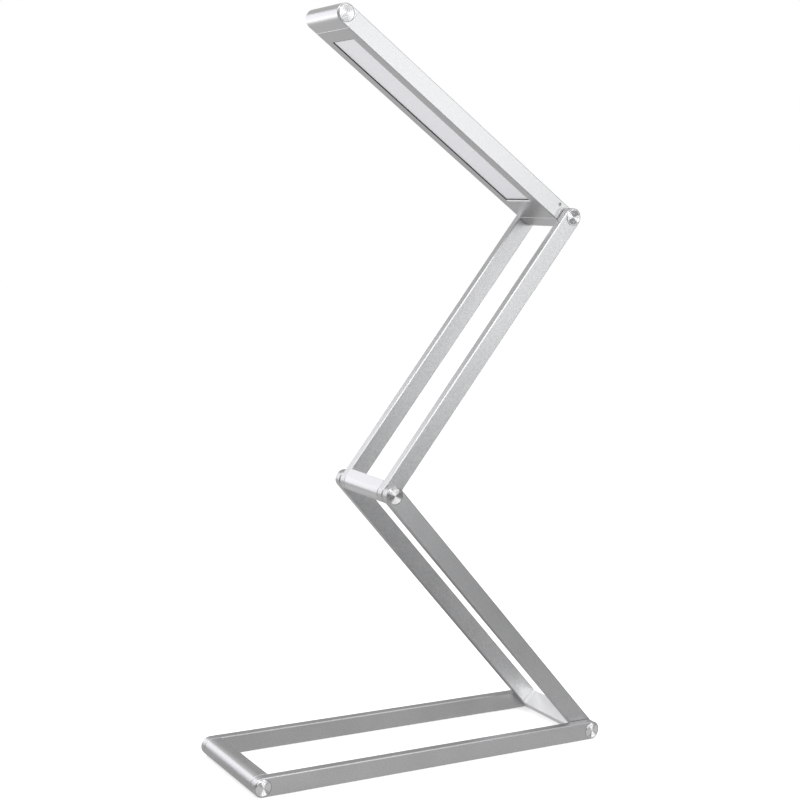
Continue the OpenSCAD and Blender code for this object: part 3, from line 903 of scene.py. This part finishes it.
def pad_recipe() -> RoundRecipe:
    """Makes the tree of the foot pads.

    Returns:
        The recipe: four long-round pads that face the table.
    """
    made = RoundRecipe("foot_pads", ("Length", "Width", "Height"))
    tree, given = made.tree, made.given
    corners = tree.add("GeometryNodeMeshGrid")
    for label, source in (
        ("Size X", given["Length"]), ("Size Y", given["Width"]),
        ("Vertices X", 2), ("Vertices Y", 2),
    ):
        tree.feed(corners.inputs[label], source)
    lift = tree.add("ShaderNodeCombineXYZ")
    tree.feed(lift.inputs[2], given["Height"])
    lifted = tree.add("GeometryNodeSetPosition")
    tree.feed(lifted.inputs["Geometry"], corners.outputs["Mesh"])
    tree.feed(lifted.inputs["Offset"], lift.outputs[0])
    made.scatter(lifted.outputs[0], (math.pi, 0.0, 0.0))
    return made


CAPS = cap_recipe()
PADS = pad_recipe()


@dataclass
class WindowTrim:
    """What lines the light window: a dark strip of painted shade on its walls and a white lip of
    painted highlight at its lit hinge end.

    The lip's crown, shoulder, end and edge are shares of its length.
    """

    slope: float = 33.67
    start: float = 26.95 * MM
    end: float = 187.0 * MM
    half_width: float = 13.2 * MM
    top: float = 5.95 * MM
    bottom: float = 5.1 * MM
    width: float = 0.26 * MM
    clearance: float = 0.02 * MM
    lip: float = 1.5 * MM
    crown: float = 0.2
    shoulder: float = 0.75
    lip_end: float = 0.93
    edge: float = 0.1

    def place(self, along: float, across: float, up: float) -> Point:
        """Turns a place in the head into one of the lamp.

        Args:
            along: Distance from the hinge towards the nose.
            across: Distance from the middle towards the back.
            up: Distance from the head's middle towards its lit side.

        Returns:
            The place in the lamp's frame.
        """
        turn = math.radians(self.slope)
        x, z = Axis.HEAD_HINGE.value
        return (
            x - along * math.cos(turn) - up * math.sin(turn),
            across,
            z + along * math.sin(turn) - up * math.cos(turn),
        )

    def add(self, name: str, solid: bmesh.types.BMesh, finish: Finish, slot: Slot) -> None:
        """Turns a shape into a piece of the head.

        Args:
            name: The piece's name.
            solid: Its shape, which is used up.
            finish: Its finish.
            slot: The record's slot that the finish belongs to; not used.
        """
        bmesh.ops.recalc_face_normals(solid, faces=solid.faces)
        mesh = bpy.data.meshes.new(name)
        solid.to_mesh(mesh)
        solid.free()
        mesh.materials.append(material_of(finish))
        mount(name, mesh, Body.HEAD)

    def strip(self) -> bmesh.types.BMesh:
        """Makes the dark strip of painted shade that runs round the diffuser, on the window's
        walls.

        Returns:
            A closed rectangular ring.
        """
        side = self.half_width - self.clearance
        edges = []
        for inset in (0.0, self.width):
            low, high, reach = self.start + inset, self.end - self.clearance - inset, side - inset
            edges.append([(low, -reach), (high, -reach), (high, reach), (low, reach)])
        solid = bmesh.new()
        rings = [
            [solid.verts.new(self.place(along, across, level)) for along, across in edge]
            for level in (self.bottom, self.top)
            for edge in edges
        ]
        for one, two in ((0, 2), (2, 3), (3, 1), (1, 0)):
            for corner in range(4):
                after = (corner + 1) % 4
                solid.faces.new((
                    rings[one][corner], rings[one][after], rings[two][after], rings[two][corner]
                ))
        return solid

    def lit_hinge_lip(self) -> bmesh.types.BMesh:
        """Makes the white lip of painted highlight that fills the window's lit sloping end.

        Returns:
            A closed bar with a crowned face.
        """
        side = self.half_width - 2 * self.clearance
        start = self.start - self.lip
        end, edge = start + self.lip_end * self.lip, self.edge * self.lip
        profile = (
            (start, self.top), (start + self.crown * self.lip, self.top + self.clearance),
            (start + self.shoulder * self.lip, self.top), (end, self.top - edge),
            (end, self.bottom + edge),
        )
        solid = bmesh.new()
        ends = [
            [solid.verts.new(self.place(along, across, level)) for along, level in profile]
            for across in (-side, side)
        ]
        for one in range(len(profile)):
            two = (one + 1) % len(profile)
            solid.faces.new((ends[0][one], ends[0][two], ends[1][two], ends[1][one]))
        for outline in ends:
            solid.faces.new(outline)
        return solid

    def build(self) -> None:
        """Builds both trims."""
        # Painted shade: a dark strip where the window's walls lie in shade.
        self.add("window_shade_strip", self.strip(), MOULDED, Slot.TRIM)
        # Painted highlight: a white lip where the window's sloping end wall is lit.
        self.add("window_lit_lip", self.lit_hinge_lip(), TRAY, Slot.WHITE)


@dataclass
class TurnedCaps:
    """The two turned caps on one axis; a lower tone on some axes is painted shade."""

    node: str
    axis: Axis
    tone: float = 0.86
    roughness: float = 0.18
    radius: float = 5.15 * MM
    rim: float = 0.12 * MM
    bevel: float = 0.32 * MM
    proud: float = 0.4 * MM
    sink: float = 0.4 * MM
    dish: float = 0.04 * MM
    groove_depth: float = 0.036 * MM
    grooves: int = 20
    segments: int = 96

    def build(self, body: Body) -> None:
        """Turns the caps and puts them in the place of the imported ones.

        Args:
            body: The body that carries them on its outer faces.
        """
        x, z = self.axis.value
        finish = TurnedFinish(
            f"turned_{self.node}", grey(self.tone), self.roughness, centre=(x, 0.0, z)
        )
        piece = CAPS.make(
            f"turned_{self.node}",
            {
                "Axis X": x, "Axis Z": z, "Half Width": half_width(body), "Radius": self.radius,
                "Straight": 0.0, "Rim": self.rim, "Bevel": self.bevel, "Proud": self.proud,
                "Sink": self.sink, "Dish": self.dish, "Groove Depth": self.groove_depth,
                "Grooves": self.grooves, "Segments": self.segments,
                "Material": material_of(finish),
            },
            body,
            Slot.CAP,
        )
        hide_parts(self.node)


@dataclass
class FootPads:
    """The grooved rubber pads under the base rails."""

    length: float = 18 * MM
    width: float = 3.56 * MM
    spacing: float = 204.9 * MM
    inset: float = 3 * MM
    rim: float = 0.45 * MM
    bevel: float = 0.15 * MM
    proud: float = 0.4 * MM
    sink: float = 0.78 * MM
    groove_depth: float = 0.18 * MM
    grooves: int = 2
    segments: int = 64

    def build(self) -> None:
        """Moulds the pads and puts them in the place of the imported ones."""
        piece = PADS.make(
            "grooved_foot_pads",
            {
                "Length": self.spacing, "Width": 2 * (half_width(Body.BASE) - self.inset),
                "Height": self.proud, "Radius": self.width / 2,
                "Straight": self.length - self.width, "Rim": self.rim, "Bevel": self.bevel,
                "Proud": self.proud, "Sink": self.sink, "Dish": 0.0,
                "Groove Depth": self.groove_depth, "Grooves": self.grooves,
                "Segments": self.segments, "Material": material_of(RUBBER),
            },
            Body.BASE,
            Slot.RUBBER,
        )
        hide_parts("base_foot_pads")


class SubAssembly:
    """One moving frame of the lamp: its body, its turned caps and what is dressed in what."""

    body: ClassVar[Body]
    caps: ClassVar[tuple[TurnedCaps, ...]]
    dressed: ClassVar[dict[Finish, tuple[str, ...]]]

    def build(self) -> None:
        """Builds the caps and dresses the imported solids."""
        for pair in self.caps:
            pair.build(self.body)
        for finish, nodes in self.dressed.items():
            for node in nodes:
                dress(node, finish)


class Base(SubAssembly):
    """The frame that stands on the table."""

    body = Body.BASE
    caps = (
        TurnedCaps("base_corner_caps", Axis.BASE_NOSE),
        TurnedCaps("base_hinge_caps", Axis.BASE_HINGE),
    )
    dressed = {
        RAIL: ("base_front_rail", "base_back_rail", "base_cross_bar"),
        STEEL: ("base_corner_screws", "base_dowels"),
        WASHER: ("base_hinge_washers",),
    }

    def build(self) -> None:
        """Builds the base and its feet."""
        super().build()
        FootPads().build()


class LowerArm(SubAssembly):
    """The lower arm, whose cross bar shows a bright cut face at the base hinge."""

    body = Body.LOWER_ARM
    # Painted shade: the elbow caps take a darker tone than the other turned caps.
    caps = (TurnedCaps("elbow_caps", Axis.ELBOW, tone=0.70, groove_depth=0.030 * MM),)
    dressed = {
        REFLECTION_SHADE_RAIL: ("lower_arm_front_rail", "lower_arm_back_rail"),
        SLOT_BAR_CORNER_SHADE: ("lower_arm_cross_bar",),
        STEEL: ("lower_arm_dowels", "base_hinge_screws"),
        WASHER: ("elbow_washers",),
    }


class UpperArm(SubAssembly):
    """The upper arm, whose cross bar is the pale barrel at the elbow."""

    body = Body.UPPER_ARM
    caps = (TurnedCaps("head_hinge_caps", Axis.HEAD_HINGE),)
    dressed = {
        RAIL: ("upper_arm_front_rail", "upper_arm_back_rail"),
        BAR: ("upper_arm_cross_bar",),
        STEEL: ("upper_arm_dowels", "elbow_screws"),
        WASHER: ("head_hinge_washers",),
    }


class Head(SubAssembly):
    """The lamp head with its light unit, battery and controls."""

    body = Body.HEAD
    # Painted shade: the head nose caps take a darker tone than the other turned caps.
    caps = (TurnedCaps("head_nose_caps", Axis.HEAD_NOSE, tone=0.72, groove_depth=0.020 * MM),)
    dressed = {
        BAR: ("head_hinge_block", "head_nose_block"),
        STEEL: ("head_hinge_screws",),
        HOUSING: ("head_housing",),
        DIFFUSER: ("light_diffuser",),
        TRAY: ("light_tray",),
        LIGHT_BOARD: ("light_board",),
        CHIP: ("light_chips",),
        CELL: ("battery_cell",),
        LEAD: ("battery_leads",),
        CONTROL_BOARD: ("control_board",),
        MOULDED: ("control_parts",),
        SOCKET: ("charging_socket",),
        GUIDE: ("charging_light",),
    }
    key_from_hinge: ClassVar[float] = 24 * MM
    key_height: ClassVar[float] = 6.15 * MM

    def build(self) -> None:
        """Builds the head, the trim of its window and the finish of its touch key."""
        super().build()
        trim = WindowTrim()
        trim.build()
        key = TurnedFinish(
            "spun_key", grey(0.80), 0.26,
            centre=trim.place(self.key_from_hinge, 0.0, -self.key_height),
            turn=Turn.OUT_OF_THE_HEAD, ring_scale=4000.0,
        )
        dress("touch_key", key)


@dataclass
class SoftBox:
    """A rectangular soft light that looks at a point of the lamp."""

    name: str
    place: Point
    target: Point
    width: float
    height: float
    radiance: float
    colour: Point = (1.0, 1.0, 1.0)

    def hang(self) -> None:
        """Hangs the light; its power follows from its area and radiance."""
        light = bpy.data.lights.new(self.name, "AREA")
        light.shape = "RECTANGLE"
        light.size = self.width
        light.size_y = self.height
        light.energy = self.radiance * WATTS * self.width * self.height
        light.color = self.colour
        holder = bpy.data.objects.new(self.name, light)
        bpy.context.scene.collection.objects.link(holder)
        toward = Vector(self.target) - Vector(self.place)
        holder.location = self.place
        holder.rotation_euler = toward.to_track_quat("-Z", "Y").to_euler()
        holder.visible_camera = False


@dataclass
class Studio:
    """Camera, floor and lights.

    The glare spans run along Y and paint brighter and darker bands into what metal mirrors of the
    floor. Painted shadows make that glow dimmer under the lamp, far to its right and under the
    lower arm, where the product of the spans is what it loses. The walls dim or lift what metal
    mirrors of the world.
    """

    eye: Point = (-0.489264, -0.792203, 0.339852)
    yaw: float = 30.87943
    pitch: float = 6.76664
    roll: float = 2.36937
    lens: float = 65.9717
    sensor: float = 36.0
    clip_start: float = 0.01
    floor_size: float = 12.0
    floor_tone: float = 0.9
    floor_glow: float = 0.55
    glare: tuple[Span, ...] = (
        (-1.8, -0.8, 0.40, 1.0), (-0.35, -0.05, 0.34, 0.54), (0.08, 0.20, 1.0, 1.22),
        (0.36, 0.56, 1.0, 0.65), (0.75, 1.0, 1.0, 1.6),
    )
    # Painted shadows in the floor's mirrored glow: under the lamp, far to its right and under the
    # lower arm.
    under_lamp: Span = (0.02, 0.05, 0.84, 1.0)
    beside_lamp: Span = (0.80, 1.05, 1.0, 0.10)
    under_arm: tuple[tuple[str, Span], ...] = (
        ("X", (0.12, 0.18, 0.62, 0.0)), ("X", (-0.13, -0.07, 0.0, 1.0)),
        ("Y", (0.03, 0.06, 0.0, 1.0)), ("Y", (0.20, 0.26, 1.0, 0.0)),
    )
    walls: tuple[tuple[str, Span], ...] = (
        ("Z", (0.25, 0.95, 0.25, 1.1)), ("Y", (-0.7, 0.3, 0.40, 1.0))
    )
    floor_bounce: float = 1.0
    boxes: list[SoftBox] = field(default_factory=lambda: [
        SoftBox("key_light", (-0.65, 1.25, 0.54), (-0.08, 0.0, 0.48), 0.72, 1.0, 1.87,
                (1.0, 0.98, 1.03)),
        SoftBox("front_light", (0.50, -1.10, 0.45), (0.0, 0.0, 0.41), 0.98, 0.71, 2.07,
                (0.985, 1.0, 1.005)),
        SoftBox("left_light", (-0.50, -1.26, 1.15), (0.05, 0.0, 0.15), 2.1, 1.5, 1.27),
        SoftBox("edge_light", (-0.72, -0.75, 1.42), (0.03, 0.0, 0.26), 0.5, 0.5, 3.0),
        SoftBox("right_light", (0.58, -0.64, 1.33), (-0.05, 0.0, 0.0), 0.5, 0.5, 1.9),
    ])

    def build(self) -> None:
        """Sets the camera, lays the floor and hangs the lights."""
        self.set_camera()
        self.lay_floor()
        self.paint_surroundings()
        for box in self.boxes:
            box.hang()
        bpy.context.scene.view_settings.view_transform = "Standard"

    def set_camera(self) -> None:
        """Puts the camera at the fitted place and makes it the scene's."""
        data = bpy.data.cameras.new("camera")
        data.lens = self.lens
        data.sensor_width = self.sensor
        data.clip_start = self.clip_start
        holder = bpy.data.objects.new("camera", data)
        bpy.context.scene.collection.objects.link(holder)
        yaw, pitch, roll = (math.radians(a) for a in (self.yaw, self.pitch, self.roll))
        ahead = Vector((
            math.sin(yaw) * math.cos(pitch), math.cos(yaw) * math.cos(pitch), -math.sin(pitch)
        ))
        level = Vector((math.cos(yaw), -math.sin(yaw), 0.0))
        upright = level.cross(ahead)
        right = level * math.cos(roll) + upright * math.sin(roll)
        up = upright * math.cos(roll) - level * math.sin(roll)
        turned = Matrix((right, up, -ahead)).transposed()
        holder.matrix_world = Matrix.Translation(self.eye) @ turned.to_4x4()
        bpy.context.scene.camera = holder

    def lay_floor(self) -> None:
        """Lays the floor."""
        half = self.floor_size / 2
        mesh = bpy.data.meshes.new("floor")
        corners = [(-half, -half, 0), (half, -half, 0), (half, half, 0), (-half, half, 0)]
        mesh.from_pydata(corners, [], [(0, 1, 2, 3)])
        mesh.materials.append(self.floor_material())
        floor = bpy.data.objects.new("floor", mesh)
        bpy.context.scene.collection.objects.link(floor)

    def floor_material(self) -> bpy.types.Material:
        """Makes the floor's material, which metal mirrors more darkly than it looks.

        Returns:
            The material.
        """
        material = bpy.data.materials.new("pale_floor")
        material.use_nodes = True
        tree = Tree(material.node_tree)
        material.node_tree.nodes.clear()
        white = tree.add("ShaderNodeBsdfDiffuse")
        white.inputs["Color"].default_value = grey(self.floor_tone)
        seen = tree.add("ShaderNodeAddShader")
        tree.feed(seen.inputs[0], white.outputs[0])
        tree.feed(seen.inputs[1], tree.glow(self.floor_glow))
        bounce, mirrored = tree.glow(self.floor_bounce), tree.glow(self.mirrored(tree))
        rays = tree.add("ShaderNodeLightPath").outputs
        unseen = tree.mix(rays["Is Glossy Ray"], bounce, mirrored)
        shown = tree.mix(rays["Is Camera Ray"], unseen, seen.outputs[0])
        tree.feed(tree.add("ShaderNodeOutputMaterial").inputs["Surface"], shown)
        return material

    def mirrored(self, tree: Tree) -> bpy.types.NodeSocket:
        """Gives how brightly metal mirrors the floor, with painted light and painted shadows in
        that glow.

        Args:
            tree: The floor's tree.

        Returns:
            The socket of the strength.
        """
        place = tree.parts(tree.spot())
        across = place["Y"]
        # Painted shadow under the lamp and painted shade far to its right, then painted bands along
        # Y.
        glare = tree.ramp(tree.math("ABSOLUTE", across), self.under_lamp)
        glare = tree.math("MULTIPLY", glare, tree.ramp(place["X"], self.beside_lamp))
        for span in self.glare:
            glare = tree.math("MULTIPLY", glare, tree.ramp(across, span))
        loss = 1.0
        for axis, span in self.under_arm:
            loss = tree.math("MULTIPLY", loss, tree.ramp(place[axis], span))
        return tree.math("MULTIPLY", glare, tree.math("SUBTRACT", 1.0, loss))

    def paint_surroundings(self) -> None:
        """Gives the world a white look and darker walls low down for the metal to mirror."""
        world = bpy.data.worlds.new("studio")
        world.use_nodes = True
        bpy.context.scene.world = world
        tree = Tree(world.node_tree)
        world.node_tree.nodes.clear()
        toward = tree.parts(tree.spot("Generated"))
        walls = [tree.ramp(toward[axis], span) for axis, span in self.walls]
        mirrored = tree.add("ShaderNodeBackground")
        tree.feed(mirrored.inputs["Strength"], tree.math("MULTIPLY", *walls))
        seen = tree.add("ShaderNodeBackground")
        for shade in (mirrored, seen):
            shade.inputs["Color"].default_value = grey(1.0)
        camera = tree.add("ShaderNodeLightPath").outputs["Is Camera Ray"]
        shown = tree.mix(camera, mirrored.outputs[0], seen.outputs[0])
        tree.feed(tree.add("ShaderNodeOutputWorld").inputs["Surface"], shown)


def main() -> None:
    """Builds the studio and the lamp, from the table up."""
    logging.basicConfig(level=logging.INFO, format="%(message)s")
    Studio().build()
    for kind in (Base, LowerArm, UpperArm, Head):
        kind().build()


if __name__ == "__main__":
    main()
